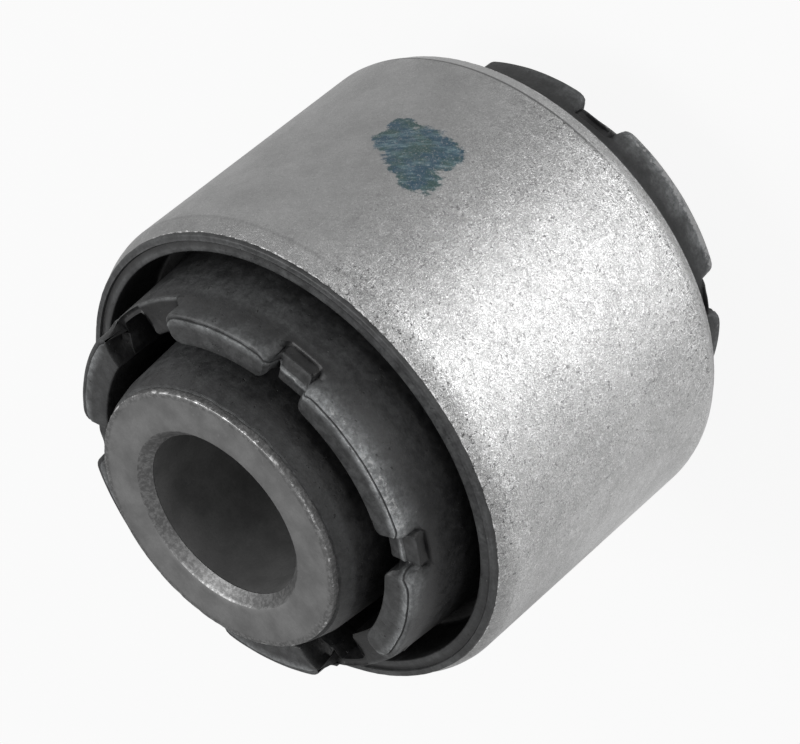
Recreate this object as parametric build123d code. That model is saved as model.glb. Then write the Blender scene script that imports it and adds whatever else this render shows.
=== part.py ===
from build123d import *
import os

# Rubber metal bush: two concentric steel sleeves with a rubber body moulded between them.
# Millimetres. The axis is Z and the bush stands on the end face of its inner sleeve.
# The two groups of pads lie towards +Y and -Y, the two wide gaps towards +X and -X.
# Sizes called height are measured along Z from the rim, the plane of the rubber at each end.

# Inner sleeve
bore_diameter = 14.2
inner_diameter = 22.7
inner_length = 44.6
bore_chamfer_depth = 0.85
bore_chamfer_width = 0.8

# Outer sleeve
outer_diameter = 41.0
outer_wall = 1.3
outer_length = 27.1
lead_in_width = 0.55
lead_in_length = 1.5

# Rubber bonded to the outer sleeve, with a skin over its end face
skin_thickness = 0.3
skin_setback = 0.08
lining_thickness = 0.8

# Rubber collar on the inner sleeve
collar_setback = 0.65
collar_tip_thickness = 0.25
collar_ridge_thickness = 0.65
collar_ridge_height = 6.1
collar_foot_thickness = 1.15

# Ring wall between the two recesses, which are as wide as the gaps on its two sides
recess_depth = 5.0
wall_inner_gap = 1.2
wall_outer_gap = 1.4
wall_draft = 0.51
wall_height = 3.5

# Pads on the ring wall, two at the ends of each group and one in its middle
pad_height = 5.45
pad_setback = 0.1
pad_corner_round = 1.0
pad_edge_chamfer = 0.3
middle_pad_angle = 49.8
notch_angle = 12.2
end_pad_angle = 37.8

# Webs that fill the notches between pads and the slots cut under them from outside
web_height = 4.5
web_setback = 0.3
web_corner_round = 0.3
slot_height = 3.1
slot_rise = 0.9
slot_setback = 0.35
slot_corner_round = 0.25

# Pockets that thin the ring wall from inside at the two wide gaps
relief_web = 0.65
relief_start_angle = 2.5
relief_end_angle = 12.8
relief_slant_angle = 7.0
relief_corner_round = 0.4

# Places that follow from the sizes above
inner_half = inner_length / 2
sleeve_half = outer_length / 2
rim = sleeve_half + skin_thickness
bond_inner = inner_diameter / 2
bond_outer = outer_diameter / 2 - outer_wall
rim_radius = outer_diameter / 2 - lead_in_width
lining_radius = bond_outer - lining_thickness
recess_floor = rim - recess_depth
collar_foot_radius = bond_inner + collar_foot_thickness
wall_inner_radius = collar_foot_radius + wall_inner_gap
wall_outer_radius = lining_radius - wall_outer_gap
wall_top_radius = wall_outer_radius - wall_draft
wall_top = rim + wall_height
pad_inner_radius = wall_inner_radius + pad_setback
pad_outer_radius = wall_top_radius - pad_setback
web_outer_radius = wall_top_radius - web_setback
notch_middle = middle_pad_angle / 2 + notch_angle / 2
end_pad_middle = middle_pad_angle / 2 + notch_angle + end_pad_angle / 2
cut_margin = 1.0
widest_corner_share = 0.45
widest_chamfer_share = 0.25


def turned(outline):
    """Solid of revolution about Z from (radius, z) points."""
    return revolve(Plane.XZ * make_face(Polyline(*outline, close=True)), Axis.Z)


def polar(radius, angle):
    """Point in the XY plane at an angle in degrees from +X."""
    return Vector(radius, 0).rotate(Axis.Z, angle)


def arc_block(inner, outer, start, end, low, high, corner_round, slant=0.0):
    """Upright block between two radii and two angles, with its upright edges rounded.

    The rounding stays under half of the block's width. The slant widens the block
    at its inner radius, past the end angle.
    """
    inner_end = end + slant
    outline = Polyline(polar(inner, inner_end), polar(outer, end))
    outline += ThreePointArc(
        polar(outer, end), polar(outer, (start + end) / 2), polar(outer, start)
    )
    outline += Polyline(polar(outer, start), polar(inner, start))
    outline += ThreePointArc(
        polar(inner, start), polar(inner, (start + inner_end) / 2), polar(inner, inner_end)
    )
    plan = make_face(outline)
    plan = fillet(plan.vertices(), min(corner_round, widest_corner_share * (outer - inner)))
    return Pos(0, 0, low) * extrude(plan, high - low)


def inner_sleeve():
    """Thick-walled steel tube for the bolt, chamfered at its bore."""
    bore = bore_diameter / 2
    upper = [
        (bond_inner, inner_half),
        (bore + bore_chamfer_width, inner_half),
        (bore, inner_half - bore_chamfer_depth),
    ]
    lower = [(radius, -z) for radius, z in reversed(upper)]
    return turned(upper + lower)


def outer_sleeve():
    """Thin steel tube with a lead-in taper at each end for pressing into its housing."""
    upper = [
        (outer_diameter / 2, sleeve_half - lead_in_length),
        (rim_radius, sleeve_half),
        (bond_outer, sleeve_half),
    ]
    lower = [(radius, -z) for radius, z in reversed(upper)]
    return turned(upper + lower)


def rubber_core():
    """Turned form of the rubber: collars, recesses, ring walls and lips at both ends."""
    collar = [
        (bond_inner, inner_half - collar_setback),
        (bond_inner + collar_tip_thickness, inner_half - collar_setback),
        (bond_inner + collar_ridge_thickness, rim + collar_ridge_height),
        (collar_foot_radius, rim),
        (collar_foot_radius, recess_floor),
    ]
    wall = [
        (wall_inner_radius, recess_floor),
        (wall_inner_radius, wall_top),
        (wall_top_radius, wall_top),
        (wall_outer_radius, recess_floor),
    ]
    lip = [
        (lining_radius, recess_floor),
        (lining_radius, rim),
        (rim_radius - skin_setback, rim),
        (rim_radius - skin_setback, sleeve_half),
        (bond_outer, sleeve_half),
    ]
    upper = collar + wall + lip
    lower = [(radius, -z) for radius, z in reversed(upper)]
    return turned(upper + lower)


def pad(middle, angle):
    """One raised pad of the upper end, rounded at its corners and chamfered along its top."""
    block = arc_block(
        pad_inner_radius,
        pad_outer_radius,
        middle - angle / 2,
        middle + angle / 2,
        rim,
        rim + pad_height,
        pad_corner_round,
    )
    edge = min(pad_edge_chamfer, widest_chamfer_share * (pad_outer_radius - pad_inner_radius))
    return chamfer(block.edges().group_by(Axis.Z)[-1], edge)


def web(middle):
    """Low web that joins two pads across the notch between them."""
    return arc_block(
        pad_inner_radius,
        web_outer_radius,
        middle - notch_angle,
        middle + notch_angle,
        rim,
        rim + web_height,
        web_corner_round,
    )


def slot(middle):
    """Cutter for the slot under a web, open towards the outer recess."""
    return arc_block(
        web_outer_radius - slot_setback,
        wall_outer_radius + cut_margin,
        middle - notch_angle / 2,
        middle + notch_angle / 2,
        rim + slot_height,
        rim + slot_height + slot_rise,
        slot_corner_round,
    )


def relief_pocket():
    """Cutter that thins the ring wall from the inner recess at the gap on the +X side."""
    return arc_block(
        (collar_foot_radius + wall_inner_radius) / 2,
        wall_top_radius - relief_web,
        relief_start_angle,
        relief_end_angle,
        recess_floor,
        rim + pad_height + cut_margin,
        relief_corner_round,
        relief_slant_angle,
    )


def rubber_body():
    """Rubber between the sleeves, with its pads, notches and relief pockets at both ends."""
    additions = []
    cuts = [relief_pocket(), mirror(relief_pocket(), Plane.YZ)]
    for facing in (90.0, 270.0):
        additions.append(pad(facing, middle_pad_angle))
        for side in (-1, 1):
            additions.append(pad(facing + side * end_pad_middle, end_pad_angle))
            additions.append(web(facing + side * notch_middle))
            cuts.append(slot(facing + side * notch_middle))
    body = rubber_core()
    for solid in additions:
        body += solid
        body += mirror(solid, Plane.XY)
    for solid in cuts:
        body -= solid
        body -= mirror(solid, Plane.XY)
    return body


os.makedirs("parts", exist_ok=True)
standing = Pos(0, 0, inner_half)
export_step(standing * inner_sleeve(), "parts/inner_sleeve.step")
export_step(standing * outer_sleeve(), "parts/outer_sleeve.step")
export_step(standing * rubber_body(), "parts/rubber_body.step")
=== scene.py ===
import math

import bpy
import numpy as np
from mathutils import Matrix, Vector, noise


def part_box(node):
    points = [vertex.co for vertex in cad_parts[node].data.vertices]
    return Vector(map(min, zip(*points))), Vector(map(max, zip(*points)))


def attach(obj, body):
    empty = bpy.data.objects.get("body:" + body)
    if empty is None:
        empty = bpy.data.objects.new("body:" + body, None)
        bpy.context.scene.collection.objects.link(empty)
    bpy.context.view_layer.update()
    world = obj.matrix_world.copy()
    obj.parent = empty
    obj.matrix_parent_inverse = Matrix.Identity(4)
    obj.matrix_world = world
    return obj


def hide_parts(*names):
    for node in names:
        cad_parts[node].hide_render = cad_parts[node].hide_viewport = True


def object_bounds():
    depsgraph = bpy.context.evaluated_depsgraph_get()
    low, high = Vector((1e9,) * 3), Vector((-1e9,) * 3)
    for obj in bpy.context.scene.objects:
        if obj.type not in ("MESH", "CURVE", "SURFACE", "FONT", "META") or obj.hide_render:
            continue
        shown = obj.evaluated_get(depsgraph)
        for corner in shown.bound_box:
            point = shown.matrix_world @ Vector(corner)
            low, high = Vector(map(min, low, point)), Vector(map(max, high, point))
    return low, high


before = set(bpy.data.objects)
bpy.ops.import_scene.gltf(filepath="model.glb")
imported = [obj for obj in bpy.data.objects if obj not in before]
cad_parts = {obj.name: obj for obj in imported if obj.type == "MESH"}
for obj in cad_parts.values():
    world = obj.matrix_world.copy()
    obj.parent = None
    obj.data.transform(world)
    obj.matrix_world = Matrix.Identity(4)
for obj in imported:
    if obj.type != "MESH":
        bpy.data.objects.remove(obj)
cad_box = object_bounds()

MM = 0.001

# Sizes read from the frame, in millimetres, with heights measured from the middle of the bush
middle_z = (cad_box[0][2] + cad_box[1][2]) / 2
outer_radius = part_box("outer_sleeve")[1][0] / MM
outer_half = (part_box("outer_sleeve")[1][2] - middle_z) / MM
bond_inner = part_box("inner_sleeve")[1][0] / MM
inner_half = (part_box("inner_sleeve")[1][2] - middle_z) / MM
skin_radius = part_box("rubber_body")[1][0] / MM
collar_tip = (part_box("rubber_body")[1][2] - middle_z) / MM

# Inner sleeve
bore_radius = 7.1
bore_chamfer_depth = 0.85
bore_chamfer_width = 0.8
chamfer_burr_width = 0.07
chamfer_burr_drop = 0.03
edge_break = 0.12

# Outer sleeve
outer_wall = 1.3
lead_in_width = 0.55
lead_in_length = 1.5
lead_in_start_drop = 0.07
end_round = 0.2
bond_outer = outer_radius - outer_wall
taper_radius = outer_radius - lead_in_width
crease_height = outer_half - lead_in_length + 0.06
crease_depth = 0.03

# Rubber bonded to the outer sleeve; from here on, heights are measured from the rim
skin_thickness = 0.3
rear_skin_setback = 0.25
lip_round = 0.12
parting_width = 0.34
parting_floor_width = 0.12
parting_depth = 0.16
rim = outer_half + skin_thickness
lining_radius = bond_outer - 0.8

# Collar on the inner sleeve
collar_tip_thickness = 0.25
collar_ridge_thickness = 0.65
collar_ridge_height = 6.1
collar_foot_radius = bond_inner + 1.15

# Ring wall between the two recesses
recess_depth = 5.0
floor_round = 0.4
wall_inner_radius = collar_foot_radius + 1.2
wall_outer_radius = lining_radius - 1.4
wall_top_radius = wall_outer_radius - 0.51
wall_height = 3.5

# Pads: their noses face the gaps, and their other ends the notches
pad_height = 5.45
pad_outer_radius = wall_top_radius - 0.1
pad_nose_round = 1.25
pad_notch_round = 1.1
pad_nose_top_round = 0.3
pad_notch_top_round = 0.55
pad_inner_edge_round = 0.15
pad_bead_width = 0.42
pad_bead_drop = 0.07
pad_crease_depth = 0.13
widest_bead_share = 0.45
notch_dip = 0.3
middle_pad_angle = 49.8
notch_angle = 12.2
end_pad_angle = 37.8

# Webs in the notches, the slots under them and their soft shoulders beside the pads
web_height = 4.4
web_edge_round = 0.15
web_crease_radius = wall_inner_radius + 1.25
web_outer_radius = wall_top_radius - 0.3
web_slit_depth = 0.9
web_slit_width = 0.6
slot_low = 3.1
slot_high = 4.0
slot_depth = 0.2625
slot_ramp = 1.2
shoulder_width = 0.7
flank_start = (wall_top_radius + 0.03, slot_low - 0.15)

# Relief pockets at the wide gaps, and the groove in the ring wall's top beside each pad's nose
relief_radius = wall_top_radius - 0.65
relief_angles = (2.5, 12.8)
relief_slant_angle = 7.0
pocket_round = 0.4
pocket_edge_round = 0.2
pocket_ledge = 0.8
pocket_groove_depth = 0.12
groove_depth = 0.45
groove_length = 0.6

# Mesh fineness: degrees between columns, how far from an edge in degrees its close columns
# are, and the angle from which the shading shows an edge as sharp
COLUMN_STEP = 1.1
SLEEVE_COLUMN_STEP = 0.75
EDGE_GAPS = (0.02, 0.3, 0.7, 1.3, 2.1, 3.2, 4.6)
SHARP_ANGLE = 38

# Points over the ring wall's top, the one where a pad's blend into a web starts, and how many
# it takes
BLOCK_POINTS = 24
BLEND_START = 6
BLEND_POINTS = 6

# Azimuths, in degrees from +X, of the pads' groups and of every edge that a column follows
group_directions = (90.0, 270.0)
pad_edges = (
    middle_pad_angle / 2,
    middle_pad_angle / 2 + notch_angle,
    middle_pad_angle / 2 + notch_angle + end_pad_angle,
)
relief_edges = (*relief_angles, relief_angles[1] + relief_slant_angle)

# Azimuths towards which the pads' sides, collar and flank are paler, the pad tops darker, and the
# lead-ins creased and sharp. The paleness is painted light, over dust on the pads' sides.
DUSTY_AND_LIT_PADS = 265
DARK_PAD_TOPS = 20
LIT_COLLAR = 10
LIT_FLANK = 325
LEAD_IN_CREASE = 305
SHARP_LEAD_IN = 325

# Radius in millimetres of the circle that the edges' noise is taken on
NOISE_RADIUS = 16

# Nicks and torn flash: depth, height that picks the noise, size of its lumps, and its seed
OUTER_NICKS = ((0.05, 0, 0.6, 41.0), (0.02, 0, 3.0, 43.0))
INNER_NICKS = ((0.08, 0, 0.7, 51.0), (0.05, 2, 2.0, 53.0))
SKIN_FLASH = ((0.07, 6, 1.1, 31.0), (0.12, 6, 0.4, 33.0))

# Camera fitted to the photograph, in metres and degrees
CAMERA_AIM = (-0.0002, -0.00005, 0.02309)
CAMERA_DISTANCE = 0.32302
CAMERA_AZIMUTH = -77.07
CAMERA_ELEVATION = 34.73
CAMERA_ROLL = -129.77
CAMERA_LENS = 187.06

# World brightness, floor colour, and how far the floor is plain white to the camera and in
# reflections
WORLD_LEVEL = 0.48
FLOOR_SHADE = 0.45
SEEN_WHITE = 0.92
MIRRORED_WHITE = 0.3

# Lamps: name, aim, azimuth, elevation, distance, width, height and power. The last two lie on
# the floor and face up, for the bright table that the photograph's sleeve mirrors.
bush = (0.0, 0.0, middle_z)
LAMPS = (
    ("top_softbox", bush, 20.0, 64.0, 0.7, 0.3, 0.3, 3.1),
    ("left_softbox", bush, 330.0, 30.0, 0.7, 0.3, 0.3, 0.3),
    ("front_strip", bush, 264.0, 8.0, 0.7, 0.6, 0.15, 0.75),
    ("right_strip", bush, 197.0, 12.0, 0.7, 0.4, 0.15, 0.15),
    ("table_light_front", (-0.0024, -0.0612, 0.0005), 87.8, -89.9, 0.0001, 0.038, 0.054, 0.0225),
    ("table_light_right", (-0.0506, -0.0184, 0.0005), 20.0, -89.9, 0.0001, 0.06, 0.062, 0.0045),
)

# Rubber colours; the last, for rubbing and dust, also serves as painted light on lit sides
RUBBER_DARK = (0.0075, 0.0075, 0.008, 1)
RUBBER_PALE = (0.0155, 0.0155, 0.016, 1)
RUBBER_RUBBED_AND_LIT = (0.285, 0.295, 0.3, 1)

# Plating: where azimuths start again, and the azimuths over which its dull side starts, its
# crystal grain and painted glints strengthen and fade, its creases start and end, and the hidden
# back turns plain; the glints are painted highlights, strongest on the lit side
SEAM_AZIMUTH = 100.0
DULL_START = (289.4, 290.2)
CRYSTAL_GLINTS_RISE = (200, 255)
CRYSTAL_GLINTS_FADE = (290, 325)
CREASE_START = (280, 300)
CREASE_END = (370, 400)
BACK_FADE = (380, 430)

# Paint dab on the outer sleeve: lobes as azimuth, height above the middle, half width and half
# height, then the direction of its brush streaks and its colours
MM_PER_DEGREE = math.radians(outer_radius)
DAB_LOBES = (
    (312.4, 0.6, 1.85, 1.75),
    (313.6, -2.5, 1.9, 1.8),
    (318.8, -1.8, 2.05, 2.9),
    (323.4, -1.6, 1.8, 1.8),
    (325.6, -3.3, 1.25, 1.1),
    (316.3, 0.3, 1.2, 1.3),
)
DAB_STREAKS = (0.526, 0.57, 0.632)
DAB_BLUE = (0.025, 0.068, 0.105, 1)
DAB_GREEN = (0.035, 0.078, 0.075, 1)
DAB_PALE = (0.16, 0.25, 0.28, 1)


def around(angle, height, size, seed):
    """Smooth noise from about -1 to 1 on a circle, at an azimuth and height.

    Its lumps have the given size in millimetres, and the seed gives each use its own noise.
    """
    turn = math.radians(angle)
    x, y = NOISE_RADIUS * math.cos(turn), NOISE_RADIUS * math.sin(turn)
    return noise.noise(Vector((x / size + seed, y / size - seed, height / size)))


def peaks(angle, height, size, seed):
    """The positive peaks of that noise, and 0 between them."""
    return max(0.0, around(angle, height, size, seed))


def nicked(angle, kinds):
    """Depth at an azimuth of nicked edges or flash, given as depth, height, size and seed of each
    kind.
    """
    return sum(depth * peaks(angle, height, size, seed) for depth, height, size, seed in kinds)


def facing(angle, towards):
    """1 for an azimuth that faces another one, falling to 0 at a right angle to it."""
    return max(0.0, math.cos(math.radians(angle - towards)))


def line(start, end, count):
    """Points from start up to, but not at, end."""
    return [
        (start[0] + (end[0] - start[0]) * i / count, start[1] + (end[1] - start[1]) * i / count)
        for i in range(count)
    ]


def arc(centre, radius, start, end, count):
    """Points on an arc between two angles in degrees, up to but not at its end."""
    points = []
    for i in range(count):
        angle = math.radians(start + (end - start) * i / count)
        points.append((centre[0] + radius * math.cos(angle), centre[1] + radius * math.sin(angle)))
    return points


def inset(distance, radius):
    """How far a corner rounded to that radius stands back, at a distance from its edge."""
    if distance >= radius:
        return 0.0
    return radius - math.sqrt(radius**2 - (radius - max(distance, 0.0)) ** 2)


class Outline:
    """Points of an outline, as radius and height, with a wear weight for each.

    The weight runs from 0 to 1, and -0.5 marks the wall of the bore; it also carries painted light
    and shade.
    """

    def __init__(self):
        self.points = []
        self.wear_and_painted_light = []

    def add(self, points, wear_and_painted_light):
        """Add points, with a weight for each of them or one for all."""
        self.points += points
        self.wear_and_painted_light += wear_and_painted_light if isinstance(wear_and_painted_light, list) else [wear_and_painted_light] * len(points)

    def mirrored(self):
        """The points mirrored below the middle of the bush."""
        return [(radius, -height) for radius, height in self.points]


def lathe(name, columns, outlines, weights):
    """Mesh of closed outlines, one per azimuth, joined all the way round.

    The outlines are (radius, height) points, and weights gives the wear of each point.
    """
    outlines, weights = np.array(outlines), np.array(weights)
    turn = np.radians(np.array(columns))[:, None]
    radius, height = outlines[..., 0], outlines[..., 1]
    places = np.stack([radius * np.cos(turn), radius * np.sin(turn), height], -1) * MM
    places[..., 2] += middle_z
    rows, count = radius.shape
    this = np.arange(rows)[:, None] * count + np.arange(count)[None, :]
    beside = np.roll(this, -1, axis=0)
    faces = np.stack([this, np.roll(this, -1, 1), np.roll(beside, -1, 1), beside], -1)
    mesh = bpy.data.meshes.new(name)
    mesh.from_pydata(places.reshape(-1, 3).tolist(), [], faces.reshape(-1, 4).tolist())
    wear_and_painted_light = mesh.attributes.new("wear_and_painted_light", "FLOAT", "POINT")
    wear_and_painted_light.data.foreach_set("value", weights.reshape(-1).astype(np.float32))
    mesh.shade_smooth()
    mesh.set_sharp_from_angle(angle=math.radians(SHARP_ANGLE))
    piece = bpy.data.objects.new(name, mesh)
    bpy.context.collection.objects.link(piece)
    return piece


def pad_reach(angle):
    """Arc length in millimetres, past the nearest pad's end if positive and inside it if negative.

    The other two values tell whether that end is a nose, which faces a gap and not a notch, and
    whether the pad is the middle one of its group.
    """
    reach = abs((angle % 180.0) - 90.0)
    scale = math.radians((wall_inner_radius + pad_outer_radius) / 2)
    middle_end, end_start, end_end = pad_edges
    if reach <= (middle_end + end_start) / 2:
        return (reach - middle_end) * scale, False, True
    if reach <= (end_start + end_end) / 2:
        return (end_start - reach) * scale, False, False
    return (reach - end_end) * scale, True, False


def wall_inside(angle):
    """Radius of the ring wall's inner side, which steps outwards in the relief pockets."""
    turn = angle % 360.0
    turn = 180.0 - turn if 90.0 < turn <= 270.0 else turn
    start, end = relief_angles
    if turn > end + relief_slant_angle:
        return wall_inner_radius
    into = math.radians(turn - start) * relief_radius
    if into < 0:
        return wall_inner_radius + inset(-into, pocket_edge_round)
    slanted = max(0.0, (turn - end) / relief_slant_angle)
    return relief_radius - inset(into, pocket_round) - (relief_radius - wall_inner_radius) * slanted


def in_pocket(inside):
    """Whether the ring wall's inner side lies in a relief pocket there."""
    return inside > wall_inner_radius + 0.25


def nose_groove(inside):
    """Depth of the groove beside a pad's nose, which is shallow where a pocket thins the wall."""
    return pocket_groove_depth if in_pocket(inside) else groove_depth


def pad_inside(inside, corner):
    """Radius of a pad's inner side, which keeps off the edge of a relief pocket."""
    set_back = pocket_ledge * min(1.0, (inside - wall_inner_radius) / 0.5)
    return max(inside + set_back, wall_inner_radius + corner)


def gap_top(angle, inside, past):
    """Outline over the bare ring wall in a gap, with a groove beside the pad's nose."""
    crown = 0.05 * around(angle, 0, 2.0, 3.0)
    groove = nose_groove(inside) * max(0.0, 1.0 - past / groove_length)
    points = []
    for i in range(BLOCK_POINTS - 1):
        share = i / (BLOCK_POINTS - 2)
        radius = inside + (wall_top_radius - inside) * share
        inner_edge = 0.12 * max(0.0, 1 - share / 0.08) ** 2
        outer_edge = 0.1 * max(0.0, (share - 0.94) / 0.06) ** 2
        edges = inner_edge + outer_edge
        dish = 0.16 * math.sin(math.pi * min(1.0, share * 1.1))
        height = wall_height + crown - edges - dish - groove * (1 - share) ** 0.5
        points.append((radius, height))
    top = Outline()
    # The bare wall top gets the lowest weight and stays dark as painted shade; only its outer edge
    # is paler
    top.add(points, [0.0] * (BLOCK_POINTS - 4) + [0.25, 0.45, 0.45])
    top.add([flank_start], 0.2)
    return top


def web_top(angle, inside, past, at_middle_pad):
    """Outline over a web: a low top, torn at its crease, and a slope down to the slot's edge."""
    past = max(past, 0.0)
    slit = 0.0 if at_middle_pad else web_slit_depth * max(0.0, 1 - past / web_slit_width)
    level = web_height + 0.14 * around(angle, 0, 0.9, 5.0) - slit
    torn = 0.22 * peaks(angle, 3, 0.55, 11.0) + 0.05
    lip = slot_high + 0.1 + 0.08 * around(angle, 2, 0.7, 15.0)
    soft = web_edge_round
    crease, outer = web_crease_radius, web_outer_radius
    slot = outer - slot_depth * min(1.0, past / slot_ramp)
    top = Outline()
    top.add(line((inside, wall_height), (inside, level - soft), 3), 0.1)
    top.add(arc((inside + soft, level - soft), soft, 180, 90, 3), 0.25)
    top.add(line((inside + soft, level), (crease - 0.12, level - 0.04), 3), 0.3)
    top.add([(crease, level + torn), (crease + 0.1, level - 0.12)], [1.0, 0.7])
    top.add(line((crease + 0.12, level - 0.16), (outer - 0.1, lip + 0.05), 4), 0.28)
    top.add([(outer, lip + 0.02), (outer, lip - 0.1)], [0.34, 0.2])
    top.add(line((slot, slot_high - 0.1), (slot, slot_low + 0.2), 2), 0.0)
    top.add([(slot + 0.1, slot_low + 0.02), (wall_top_radius - 0.22, slot_low)], 0.0)
    top.add([(wall_top_radius - 0.11, slot_low - 0.02)], 0.0)
    top.add([(wall_top_radius - 0.02, slot_low - 0.07)], 0.0)
    top.add([flank_start], 0.05)
    return top


def pad_top(angle, inside, past, at_nose, at_middle_pad, at_front):
    """Outline over a pad: flat top, parting crease and a rounded bead along its outer edge."""
    corner = inset(-past, pad_nose_round if at_nose else pad_notch_round)
    level = pad_height - inset(-past, pad_nose_top_round if at_nose else pad_notch_top_round)
    if at_nose:
        dip, crest, flare = nose_groove(inside), 0.08 * math.exp(past / 1.6), 0.0
    else:
        dip, crest, flare = 0.0 if at_middle_pad else notch_dip, 0.0, 0.22 * math.exp(past / 0.9)
    ledge = wall_height - dip * min(1.0, corner / 0.3)
    inner = pad_inside(inside, corner)
    outer = pad_outer_radius - corner
    bead = pad_bead_width + flare + 0.06 * around(angle, 3, 1.2, 13.0)
    bead = min(bead, widest_bead_share * (outer - inner))
    half = bead * 0.5
    crease = outer - bead
    low = level - pad_bead_drop
    torn = 0.07 * peaks(angle, 3, 0.45, 11.0)
    ridge = wall_height + 0.15 * around(angle, 1, 2.5, 17.0)
    soft = pad_inner_edge_round
    # Outer sides: dust, plus painted light that is paler towards the lit side and paler still on
    # the rear end; the crease's torn flash is stronger on that lit side too
    dusty_and_lit = facing(angle, DUSTY_AND_LIT_PADS) ** 2
    side_dust_and_light = 0.36 + (0.62 if at_front else 0.8) * dusty_and_lit
    top_wear = 0.32 - 0.05 * facing(angle, DARK_PAD_TOPS)
    ledge_wear = 0.4 if in_pocket(inside) else 0.0
    top = Outline()
    top.add(line((inside, ledge), (inner, ledge + 0.05), 2), [ledge_wear, 0.0])
    top.add(line((inner, ledge + 0.3), (inner, level - soft), 3), 0.1)
    top.add(arc((inner + soft, level - soft), soft, 180, 90, 3), top_wear)
    top.add(line((inner + soft, level), (crease - 0.08, level), 3), top_wear)
    top.add([(crease - 0.05, level + torn)], 0.8 + 0.22 * dusty_and_lit)
    top.add([(crease, level - pad_crease_depth)], 0.15)
    top.add(arc((crease + half, low - half), half, 125, 0, 5), side_dust_and_light)
    fading = [side_dust_and_light, 0.95 * side_dust_and_light, 0.7 * side_dust_and_light]
    top.add(line((outer, low - half), (outer + 0.03, wall_height + 0.7), 3), fading)
    top.add([(outer + 0.05, ridge + 0.3)], 0.5 * side_dust_and_light)
    top.add([(wall_top_radius + crest, ridge)], 0.4 * side_dust_and_light)
    top.add([flank_start], 0.25)
    return top


def wall_top(angle, inside, at_front):
    """Outline over the ring wall's top, from its inner edge to its outer one."""
    past, at_nose, at_middle_pad = pad_reach(angle)
    if at_nose:
        corner = inset(-past, pad_nose_round)
        cut_away = pad_outer_radius - corner < pad_inside(inside, corner) + 0.05
        if past > 0 or cut_away:
            return gap_top(angle, inside, max(past, 0.0))
        return pad_top(angle, inside, past, at_nose, at_middle_pad, at_front)
    raised = pad_top(angle, inside, past, at_nose, at_middle_pad, at_front)
    low = web_top(angle, inside, past, at_middle_pad)
    step = 1.0 if past <= 0 else 0.0
    slope = min(1.0, max(0.0, 0.5 - past / shoulder_width))
    slope = slope**2 * (3 - 2 * slope)
    top = Outline()
    for i, (a, b) in enumerate(zip(raised.points, low.points)):
        share = step + (slope - step) * min(1.0, max(0.0, (i - BLEND_START) / BLEND_POINTS))
        point = (a[0] * share + b[0] * (1 - share), a[1] * share + b[1] * (1 - share))
        top.add([point], raised.wear_and_painted_light[i] * share + low.wear_and_painted_light[i] * (1 - share))
    return top


def end_outline(angle, at_front):
    """Outline of one end of the rubber at an azimuth, from the inner sleeve to the outer one.

    The front end is the photographed one, whose skin is torn where it meets the steel.
    """
    end = Outline()
    inside, outer = wall_inside(angle), wall_outer_radius
    foot, soft = collar_foot_radius, floor_round
    floor, bend = -recess_depth, -recess_depth + floor_round

    tip = collar_tip - rim + 0.1 * around(angle, 9, 1.5, 21.0) - 0.06
    ridge = bond_inner + collar_ridge_thickness
    swell = 0.05 * around(angle, 4, 3.0, 23.0)
    # The collar is painted paler towards one side: painted light
    collar_light = 0.02 + 0.38 * facing(angle, LIT_COLLAR)
    end.add([(bond_inner, tip + 0.03)], 0.5)
    end.add(line((bond_inner + collar_tip_thickness, tip), (ridge, collar_ridge_height), 3), 0.3)
    end.add(line((ridge, collar_ridge_height), (foot + swell, 0.0), 6), collar_light)

    end.add(line((foot + swell, 0.0), (foot, bend), 3), 0.0)
    end.add(arc((foot + soft, bend), soft, 180, 270, 3), 0.0)
    end.add([(foot + soft, floor)], 0.0)
    end.add(arc((inside - soft, bend), soft, 270, 360, 3), 0.0)
    end.add(line((inside, bend), (inside, wall_height - 1.0), 5), 0.0)

    top = wall_top(angle, inside, at_front)
    end.add(top.points, top.wear_and_painted_light)
    # The flank is painted paler towards one side and darker down into the recess: painted light and
    # shade
    flank_light = 0.1 + 0.3 * facing(angle, LIT_FLANK)
    fading = [flank_light] * 3 + [0.7 * flank_light] * 3 + [0.3 * flank_light] * 2 + [0.0] * 2
    end.add(line(top.points[-1], (outer, bend), 11)[1:], fading)

    end.add(arc((outer + soft, bend), soft, 180, 270, 3), 0.0)
    end.add([(outer + soft, floor)], 0.0)
    end.add(arc((lining_radius - soft, bend), soft, 270, 360, 3), 0.0)
    end.add(line((lining_radius, bend), (lining_radius, -0.15), 4), 0.0)
    end.add(arc((lining_radius + lip_round, -lip_round), lip_round, 180, 90, 3), 0.3)

    facing_back = 0.5 + 0.5 * math.sin(math.radians(angle))
    parted = 0.08 + 0.92 * min(1.0, 1.6 * facing_back) if at_front else 0.3
    # The parting groove's floor is darker the deeper the groove is
    parting_floor_weight = 0.38 - 0.38 * parted
    shore = parting_width / 2
    bed = parting_floor_width / 2
    end.add(line((lining_radius + lip_round, 0.0), (bond_outer - shore, 0.02), 2), 0.38)
    end.add([(bond_outer - bed, -parting_depth * parted)], parting_floor_weight)
    end.add([(bond_outer + bed, -parting_depth * parted)], parting_floor_weight)
    end.add([(bond_outer + shore, 0.03)], 0.4)

    flash = nicked(angle, SKIN_FLASH) if at_front else 0.0
    edge = 0.03 * around(angle, 6, 0.5, 37.0) if at_front else -rear_skin_setback
    edge += skin_radius
    hem = edge + 0.04 + flash * lead_in_width / lead_in_length
    end.add(line((bond_outer + shore + lip_round, 0.0), (edge - lip_round, 0.0), 2), 0.38)
    end.add(arc((edge - lip_round, -lip_round), lip_round, 90, 0, 3), 0.4)
    end.add([(hem, -skin_thickness - flash)], 0.25)
    end.add([(bond_outer, -skin_thickness)], 0.0)
    return end


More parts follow.
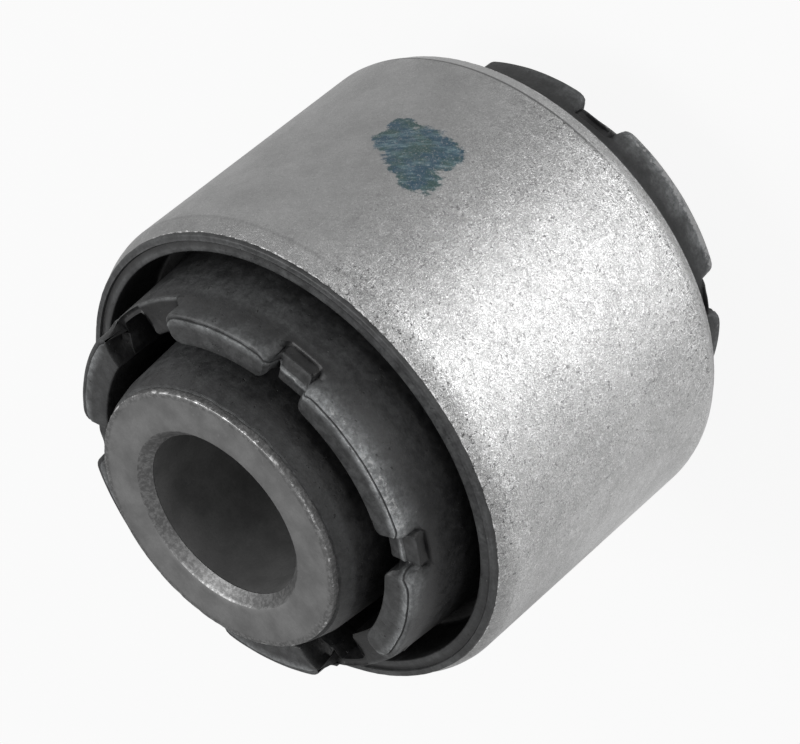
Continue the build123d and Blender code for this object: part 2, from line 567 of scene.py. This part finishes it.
def feature_columns():
    """Azimuths of the rubber's columns, close together at each edge of pads and pockets."""
    edges = [d + side * e for d in group_directions for side in (-1, 1) for e in pad_edges]
    edges += list(relief_edges) + [180 - e for e in relief_edges]
    close = sorted((e + side * gap) % 360 for e in edges for side in (-1, 1) for gap in EDGE_GAPS)
    apart = [
        a
        for a in np.arange(0, 360, COLUMN_STEP)
        if min(abs((a - c + 180) % 360 - 180) for c in close) > 0.6 * COLUMN_STEP
    ]
    return sorted(close + apart)


def build_rubber():
    """The whole rubber body, as one closed outline over both ends at each azimuth."""
    columns = feature_columns()
    outlines, weights = [], []
    for angle in columns:
        front, rear = end_outline(angle, True), end_outline(angle, False)
        upper = [(radius, rim + height) for radius, height in front.points]
        lower = [(radius, -rim - height) for radius, height in rear.points]
        outlines.append(upper + lower[::-1])
        weights.append(front.wear_and_painted_light + rear.wear_and_painted_light[::-1])
    return lathe("rubber_moulding", columns, outlines, weights)


def build_outer_sleeve():
    """Pressed steel tube with lead-in tapers, a faint crease where they start and nicked edges.

    The lead-in is straight on the side where the photograph shows it sharp, and curved elsewhere.
    """
    columns = list(np.arange(0, 360, SLEEVE_COLUMN_STEP))
    outlines, weights = [], []
    for angle in columns:
        nick = nicked(angle, OUTER_NICKS)
        crease = crease_depth * facing(angle, LEAD_IN_CREASE) ** 2
        power = 1.9 - 0.9 * facing(angle, SHARP_LEAD_IN) ** 2
        corner = (taper_radius - end_round, outer_half - end_round)
        taper = []
        for i in range(6):
            share = 1 - i / 6
            drop = lead_in_start_drop + (lead_in_width - lead_in_start_drop) * share**power
            height = crease_height + 0.15 + (outer_half - 0.37 - crease_height) * share
            taper.append((outer_radius - drop, height))
        upper = Outline()
        upper.add([(bond_outer, outer_half), (taper_radius - 0.3, outer_half)], [0.0, 0.7])
        upper.add(arc(corner, end_round - nick / 2, 90, 15, 4), 1.0)
        upper.add(taper, [0.75, 0.4] + [0.0] * 4)
        upper.add([(outer_radius - 0.04 - crease * 0.4, crease_height + 0.05)], 0.0)
        upper.add([(outer_radius - 0.02 - crease, crease_height)], 0.0)
        upper.add([(outer_radius - 0.01, crease_height - 0.1)], 0.0)
        upper.add(line((outer_radius, crease_height - 0.35), (outer_radius, 0.0), 8), 0.0)
        outlines.append(upper.points + upper.mirrored()[::-1])
        weights.append(upper.wear_and_painted_light + upper.wear_and_painted_light[::-1])
    return lathe("outer_tube", columns, outlines, weights)


def build_inner_sleeve():
    """Machined steel tube with chamfered bore and nicked outer edges."""
    columns = list(np.arange(0, 360, SLEEVE_COLUMN_STEP))
    outlines, weights = [], []
    chamfer_low = inner_half - bore_chamfer_depth
    corner = (bond_inner - edge_break, inner_half - edge_break)
    for angle in columns:
        nick = nicked(angle, INNER_NICKS)
        ring = bore_radius + bore_chamfer_width + 0.03 * around(angle, 0, 3.0, 55.0)
        burr = ring + chamfer_burr_width
        side_end = (bond_inner, inner_half - edge_break - nick)
        upper = Outline()
        upper.add(line((bond_inner, inner_half - 1.2), side_end, 3), [0.0, 0.3, 0.8])
        upper.add(arc(corner, edge_break - nick / 2, 0, 90, 4), 1.0)
        upper.add(line((bond_inner - 0.3, inner_half), (burr, inner_half), 6), [0.5] + [0.0] * 5)
        upper.add([(burr, inner_half)], 0.1)
        chamfer = line((ring, inner_half - chamfer_burr_drop), (bore_radius, chamfer_low), 5)
        upper.add(chamfer, [0.9, 0.5, 0.5, 0.5, 0.6])
        upper.add([(bore_radius, chamfer_low)], 0.7)
        upper.add(line((bore_radius, chamfer_low - 0.08), (bore_radius, 0.0), 6), -0.5)
        outlines.append(upper.mirrored() + upper.points[::-1])
        weights.append(upper.wear_and_painted_light + upper.wear_and_painted_light[::-1])
    return lathe("inner_tube", columns, outlines, weights)


class Nodes:
    """Short calls for building one material's nodes."""

    def __init__(self, name):
        self.material = bpy.data.materials.new(name)
        self.material.use_nodes = True
        self.tree = self.material.node_tree
        self.tree.nodes.clear()
        self.output = self.add("ShaderNodeOutputMaterial")
        self.place = self.add("ShaderNodeTexCoord").outputs["Object"]

    def add(self, kind, inputs=None, **settings):
        """A node, with its inputs set or linked."""
        made = self.tree.nodes.new(kind)
        for key, value in settings.items():
            setattr(made, key, value)
        for key, value in (inputs or {}).items():
            self.feed(made.inputs[key], value)
        return made

    def feed(self, socket, value):
        """Link another node's output to a socket, or set the socket to a plain value."""
        if isinstance(value, bpy.types.NodeSocket):
            self.tree.links.new(value, socket)
        else:
            socket.default_value = value

    def math(self, operation, first, second=0.0, third=0.0):
        """Result of a math node."""
        inputs = {0: first, 1: second, 2: third}
        return self.add("ShaderNodeMath", inputs, operation=operation).outputs[0]

    def vector_math(self, operation, output, inputs):
        """One output of a vector math node."""
        return self.add("ShaderNodeVectorMath", inputs, operation=operation).outputs[output]

    def times(self, first, *others):
        """Product of values."""
        for other in others:
            first = self.math("MULTIPLY", first, other)
        return first

    def noise(self, size, detail=3.0, roughness=0.55, distortion=0.0, vector=None, seed=0.0):
        """Noise from 0 to 1 with lumps of the given size in millimetres."""
        inputs = {
            "Vector": vector or self.place,
            "W": seed,
            "Scale": 1 / (size * MM),
            "Detail": detail,
            "Roughness": roughness,
            "Distortion": distortion,
        }
        return self.add("ShaderNodeTexNoise", inputs, noise_dimensions="4D").outputs["Fac"]

    def squeezed(self, direction, share):
        """Place squeezed along a direction, so that noise on it runs in streaks that way."""
        reach = self.vector_math("DOT_PRODUCT", "Value", {0: self.place, 1: direction})
        part = {0: direction, "Scale": self.times(reach, share)}
        part = self.vector_math("SCALE", "Vector", part)
        return self.vector_math("SUBTRACT", "Vector", {0: self.place, 1: part})

    def cells(self, size):
        """Distance from the middle of Voronoi cells of the given size in millimetres."""
        inputs = {"Vector": self.place, "Scale": 1 / (size * MM)}
        return self.add("ShaderNodeTexVoronoi", inputs).outputs["Distance"]

    def between(self, value, low, high, start=0.0, end=1.0):
        """Value mapped smoothly from low..high to start..end and held outside."""
        inputs = {"Value": value, "From Min": low, "From Max": high, "To Min": start, "To Max": end}
        return self.add("ShaderNodeMapRange", inputs, interpolation_type="SMOOTHSTEP").outputs[0]

    def warped(self, value, reach, seed):
        """Value moved to and fro by ragged noise, as far as reach each way."""
        ragged = self.noise(0.8, 4.0, 0.7, seed=seed)
        return self.math("MULTIPLY_ADD", ragged, 2 * reach, self.math("SUBTRACT", value, reach))

    def mix(self, share, first, second):
        """First colour, turned into the second by the share."""
        made = self.add("ShaderNodeMix", data_type="RGBA")
        self.feed(made.inputs[0], share)
        self.feed(made.inputs[6], first)
        self.feed(made.inputs[7], second)
        return made.outputs[2]

    def over(self, shade, colour, mask, amount):
        """Colour laid over a shade where the mask is, and no more than the amount there."""
        return self.mix(self.times(mask, amount), shade, colour)

    def wear_and_painted_light(self):
        """The mesh's weight of rubbing, nicked edges and painted light at the shaded point."""
        return self.add("ShaderNodeAttribute", attribute_name="wear_and_painted_light").outputs["Fac"]

    def worn(self, ragged, amount, low, high):
        """Mask that rises where wear and an amount of ragged noise together pass low to high."""
        return self.between(self.math("MULTIPLY_ADD", ragged, amount, self.wear_and_painted_light()), low, high)

    def azimuth_and_height(self):
        """Azimuth in degrees, and height in millimetres from the bush's middle.

        The azimuth starts and ends on the back, where every mask is flat.
        """
        x, y, z = self.add("ShaderNodeSeparateXYZ", {0: self.place}).outputs
        turn = self.times(self.math("ARCTAN2", y, x), 180 / math.pi)
        turn = self.math("FLOORED_MODULO", self.math("SUBTRACT", turn, SEAM_AZIMUTH), 360.0)
        height = self.math("MULTIPLY_ADD", z, 1 / MM, -middle_z / MM)
        return self.math("ADD", turn, SEAM_AZIMUTH), height

    def bump(self, height, depth, normal=None):
        """Bump whose full height is the given depth in millimetres."""
        inputs = {"Height": height, "Distance": depth * MM}
        if normal:
            inputs["Normal"] = normal
        return self.add("ShaderNodeBump", inputs).outputs["Normal"]

    def surface(self, inputs):
        """The material, with one principled shader that has these inputs."""
        shader = self.add("ShaderNodeBsdfPrincipled", inputs)
        self.tree.links.new(shader.outputs[0], self.output.inputs["Surface"])
        return self.material


def grey(value):
    """Grey of that brightness."""
    return (value, value, value, 1.0)


def rubber_material():
    """Moulded rubber: charcoal and satin, pitted, paler where rubbing and torn edges are, and paler
    on its lit sides as painted light.
    """
    n = Nodes("black_rubber_finish")
    wear_and_painted_light = n.wear_and_painted_light()
    blotch = n.noise(2.2, 4.0, 0.6)
    mottle = n.noise(0.8, 4.0, 0.65, 0.6, seed=8.0)
    fine = n.noise(0.25, 3.0, 0.65)

    # Paleness from rubbing and dust, also used as painted light on lit sides
    rubbed_and_lit = n.times(
        n.math("POWER", wear_and_painted_light, 2.0),
        n.between(blotch, 0.3, 0.7, 0.45, 1.0),
        n.between(mottle, 0.35, 0.65, 0.7, 1.25),
        n.between(fine, 0.3, 0.7, 0.65, 1.25),
    )
    torn = n.worn(n.noise(0.4, 3.0, 0.7, 0.5), 1.3, 1.6, 1.8)
    pits = n.between(n.noise(0.34, 2.0, 0.6, 0.4, seed=6.0), 0.33, 0.27)
    speck_size = n.math("MULTIPLY_ADD", n.noise(3.0, seed=4.0), -0.06, 0.065)
    specks = n.math("LESS_THAN", n.cells(1.3), speck_size)

    shade = n.mix(n.between(mottle, 0.35, 0.65), RUBBER_DARK, RUBBER_PALE)
    shade = n.mix(rubbed_and_lit, shade, RUBBER_RUBBED_AND_LIT)
    shade = n.over(shade, grey(0.45), torn, 0.75)
    shade = n.over(shade, grey(0.005), pits, 0.7)
    shade = n.over(shade, grey(0.2), specks, 0.5)

    roughness = n.math("MULTIPLY_ADD", wear_and_painted_light, 0.2, n.between(mottle, 0.3, 0.7, 0.38, 0.52))
    normal = n.bump(n.noise(1.3, 4.0, 0.6), 0.085)
    normal = n.bump(pits, -0.05, normal)
    normal = n.bump(fine, 0.018, normal)
    return n.surface({"Base Color": shade, "Roughness": roughness, "Normal": normal})


def dab_mask(n, azimuth, height, streaks):
    """Where the paint dab lies, as ragged overlapping lobes on the sleeve's surface."""
    azimuth = n.warped(azimuth, 2.5, 11.0)
    height = n.warped(height, 0.9, 12.0)
    nearest = 9.0
    for middle, level, wide, tall in DAB_LOBES:
        scale = MM_PER_DEGREE / wide
        across = n.math("MULTIPLY_ADD", azimuth, scale, -middle * scale)
        along = n.math("MULTIPLY_ADD", height, 1 / tall, -level / tall)
        reach = n.math("MULTIPLY_ADD", along, along, n.times(across, across))
        nearest = n.math("SMOOTH_MIN", reach, nearest, 0.3)
    frayed = n.math("MULTIPLY_ADD", streaks, 1.6, -0.8)
    return n.between(n.math("ADD", nearest, frayed), 0.75, 1.1, 1.0, 0.0)


def outer_steel_material():
    """Zinc-plated steel: fine crystal grain and bright nicked spots, both with painted glints, a
    dull side, creases with painted shade, a painted reflection on the rear lead-in and a paint dab.
    """
    n = Nodes("zinc_plated_finish")
    azimuth, height = n.azimuth_and_height()
    level = n.math("ABSOLUTE", height)
    grain = n.noise(0.2, 2.0, 0.7, 1.2)
    patch = n.noise(0.9, 3.0, 0.6)

    # Grey ground, a little darker on the dull side
    wobble = n.math("MULTIPLY_ADD", n.noise(1.2), 1.2, azimuth)
    dull = n.times(n.between(wobble, *DULL_START), n.between(azimuth, *BACK_FADE, 1.0, 0.0))
    shade = n.mix(n.between(n.noise(4.5, 3.0, 0.6), 0.3, 0.7), grey(0.37), grey(0.46))
    shade = n.over(shade, grey(0.28), dull, 0.2)

    # Crystal grain as blotches, curls and pits, stronger near the ends and strongest on the lit
    # side as painted glints
    crystals_and_glints = n.times(
        n.between(azimuth, *CRYSTAL_GLINTS_FADE, 1.0, 0.2),
        n.between(azimuth, *CRYSTAL_GLINTS_RISE, 0.4, 1.0),
    )
    crystals_and_glints = n.math("ADD", crystals_and_glints, n.between(azimuth, *BACK_FADE, 0.0, 0.2))
    crystals_and_glints = n.times(
        crystals_and_glints,
        n.between(level, outer_half - 4.5, outer_half - 0.8, 0.75, 1.3),
        n.between(patch, 0.3, 0.6, 0.6, 1.15),
    )
    blotch = n.times(n.between(patch, 0.45, 0.7), crystals_and_glints)
    curl = n.math("SUBTRACT", n.noise(0.34, 1.0, 0.6, 1.6, seed=3.0), 0.5)
    curl = n.times(n.between(n.math("ABSOLUTE", curl), 0.055, 0.0), crystals_and_glints)
    pits = n.times(n.between(n.noise(0.24, 2.0, 0.6, 0.8, seed=7.0), 0.46, 0.3), crystals_and_glints)
    shade = n.over(shade, grey(0.75), blotch, 0.25)
    shade = n.over(shade, grey(0.95), curl, 0.8)
    shade = n.over(shade, grey(0.09), pits, 0.85)

    # Lead-ins, duller at the front and brighter at the rear as a painted reflection, and the
    # creases where they start, drawn dark as painted shade
    front_lead_in = n.between(height, outer_half - 1.9, outer_half - 1.2)
    rear_lead_in_reflection = n.between(height, -crease_height - 0.08, -crease_height, 1.0, 0.0)
    crease = n.math("ABSOLUTE", n.math("SUBTRACT", level, crease_height))
    crease = n.times(
        n.between(crease, 0.06, 0.18, 1.0, 0.0),
        n.between(azimuth, *CREASE_START),
        n.between(azimuth, *CREASE_END, 1.0, 0.0),
        n.between(height, -1.0, 1.0, 0.75, 0.15),
    )
    shade = n.over(shade, grey(0.28), front_lead_in, 0.15)
    shade = n.over(shade, grey(0.66), rear_lead_in_reflection, 0.4)
    # Dark line along the creases: painted shade
    shade = n.mix(crease, shade, grey(0.12))

    # Bright nicked spots with painted glints, and dark grime along the end
    nicks_and_glints = n.worn(n.noise(0.45, 3.0, 0.7), 1.3, 1.6, 1.7)
    grime = n.worn(n.noise(0.3, 3.0, 0.7, seed=13.0), -1.3, 0.35, 0.5)
    shade = n.mix(nicks_and_glints, shade, grey(0.92))
    shade = n.over(shade, grey(0.08), grime, 0.7)

    # Paint dab, streaked and worn thin in places
    streaks = n.noise(0.5, 4.0, 0.75, 0.4, n.squeezed(DAB_STREAKS, 0.7), seed=2.0)
    paint = dab_mask(n, azimuth, height, streaks)
    tint = n.mix(n.between(n.noise(1.3, 2.0, seed=14.0), 0.4, 0.6), DAB_BLUE, DAB_GREEN)
    colour = n.mix(n.between(streaks, 0.45, 0.72), tint, DAB_PALE)
    thin = n.between(n.noise(0.22, 3.0, 0.7, 1.0, seed=9.0), 0.32, 0.5, 0.6, 1.0)
    shade = n.over(shade, colour, paint, thin)

    normal = n.bump(patch, 0.06)
    normal = n.bump(n.noise(0.38, 3.0, 0.65, 2.5, seed=5.0), 0.045, normal)
    normal = n.bump(grain, 0.055, normal)
    return n.surface(
        {
            "Base Color": shade,
            "Metallic": n.math("MULTIPLY_ADD", paint, -0.9, 1.0),
            "Roughness": n.between(grain, 0.3, 0.7, 0.36, 0.5),
            "Normal": normal,
        }
    )


def inner_steel_material():
    """Machined steel, dull grey and faintly mottled, with a scuffed chamfer and bright nicked
    spots, partly painted glints.

    The wall of the bore, which wear below 0 marks, is less metallic.
    """
    n = Nodes("machined_steel_finish")
    wear_and_painted_light = n.wear_and_painted_light()
    grain = n.noise(0.22, 3.0, 0.6, 0.3)
    pale = n.between(n.noise(0.35, 4.0, 0.7, seed=3.0), 0.58, 0.75)
    chamfer = n.between(wear_and_painted_light, 0.2, 0.45)
    scuffs = n.times(chamfer, n.between(n.noise(0.3, 4.0, 0.75, seed=5.0), 0.42, 0.62))
    nicks_and_glints = n.worn(n.noise(0.8, 4.0, 0.7), 1.2, 1.6, 1.75)

    shade = n.mix(n.between(n.noise(2.5, 4.0, 0.6), 0.3, 0.7), grey(0.2), grey(0.3))
    shade = n.mix(n.between(grain, 0.35, 0.7, 0.0, 0.35), shade, grey(0.14))
    shade = n.over(shade, grey(0.42), pale, 0.4)
    shade = n.over(shade, grey(0.1), chamfer, 0.6)
    shade = n.over(shade, grey(0.45), scuffs, 0.38)
    shade = n.mix(nicks_and_glints, shade, grey(0.7))

    normal = n.bump(n.noise(0.7, 3.0, 0.6), 0.012)
    normal = n.bump(grain, 0.006, normal)
    return n.surface(
        {
            "Base Color": shade,
            "Metallic": n.between(wear_and_painted_light, -0.4, -0.1, 0.64, 1.0),
            "Roughness": n.between(grain, 0.3, 0.7, 0.4, 0.52),
            "Normal": normal,
        }
    )


def floor_material():
    """Pale floor, near white to the camera and paler in reflections, that keeps a soft shadow."""
    n = Nodes("floor_finish")
    rays = n.add("ShaderNodeLightPath").outputs
    mirrored = n.math("MAXIMUM", rays["Is Glossy Ray"], rays["Is Transmission Ray"])
    plain = n.add("ShaderNodeBsdfDiffuse", {"Color": grey(FLOOR_SHADE)}).outputs[0]
    white = n.add("ShaderNodeEmission", {"Color": grey(1.0), "Strength": 1.0}).outputs[0]
    share = n.times(mirrored, MIRRORED_WHITE)
    share = n.math("MULTIPLY_ADD", rays["Is Camera Ray"], SEEN_WHITE, share)
    both = n.add("ShaderNodeMixShader", {0: share, 1: plain, 2: white}).outputs[0]
    n.tree.links.new(both, n.output.inputs["Surface"])
    return n.material


def looking(aim, azimuth, elevation, distance, roll=0.0):
    """Pose at a distance from the aim, looking at it, turned about its own view axis."""
    a, e = math.radians(azimuth), math.radians(elevation)
    away = Vector((math.cos(a) * math.cos(e), math.sin(a) * math.cos(e), math.sin(e)))
    turn = away.to_track_quat("Z", "Y").to_matrix() @ Matrix.Rotation(math.radians(roll), 3, "Z")
    return Matrix.Translation(Vector(aim) + away * distance) @ turn.to_4x4()


def build_stage():
    """Floor, world, lamps and camera."""
    bpy.ops.mesh.primitive_plane_add(size=6.0)
    floor = bpy.context.object
    floor.name = "floor"
    floor.data.materials.append(floor_material())
    world = bpy.data.worlds.new("studio")
    bpy.context.scene.world = world
    world.use_nodes = True
    world.node_tree.nodes["Background"].inputs[0].default_value = grey(1.0)
    world.node_tree.nodes["Background"].inputs[1].default_value = WORLD_LEVEL
    for name, aim, azimuth, elevation, distance, width, height, power in LAMPS:
        lamp = bpy.data.lights.new(name, "AREA")
        lamp.shape = "RECTANGLE"
        lamp.size, lamp.size_y, lamp.energy = width, height, power
        holder = bpy.data.objects.new(name, lamp)
        holder.visible_camera = False
        holder.matrix_world = looking(aim, azimuth, elevation, distance)
        bpy.context.collection.objects.link(holder)
    lens = bpy.data.cameras.new("photo_camera")
    lens.sensor_width = 36.0
    lens.lens = CAMERA_LENS
    lens.clip_start = 0.01
    camera = bpy.data.objects.new("photo_camera", lens)
    camera.matrix_world = looking(
        CAMERA_AIM, CAMERA_AZIMUTH, CAMERA_ELEVATION, CAMERA_DISTANCE, CAMERA_ROLL
    )
    bpy.context.collection.objects.link(camera)
    bpy.context.scene.camera = camera
    bpy.context.scene.view_settings.view_transform = "Standard"


rubber = build_rubber()
outer_tube = build_outer_sleeve()
inner_tube = build_inner_sleeve()
dressed = (
    (rubber, "rubber_body", "black_rubber", rubber_material),
    (outer_tube, "outer_sleeve", "zinc_plated_steel", outer_steel_material),
    (inner_tube, "inner_sleeve", "machined_steel", inner_steel_material),
)
for piece, node, slot, finish in dressed:
    piece.data.materials.append(finish())
    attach(piece, "root")
    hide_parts(node)
build_stage()
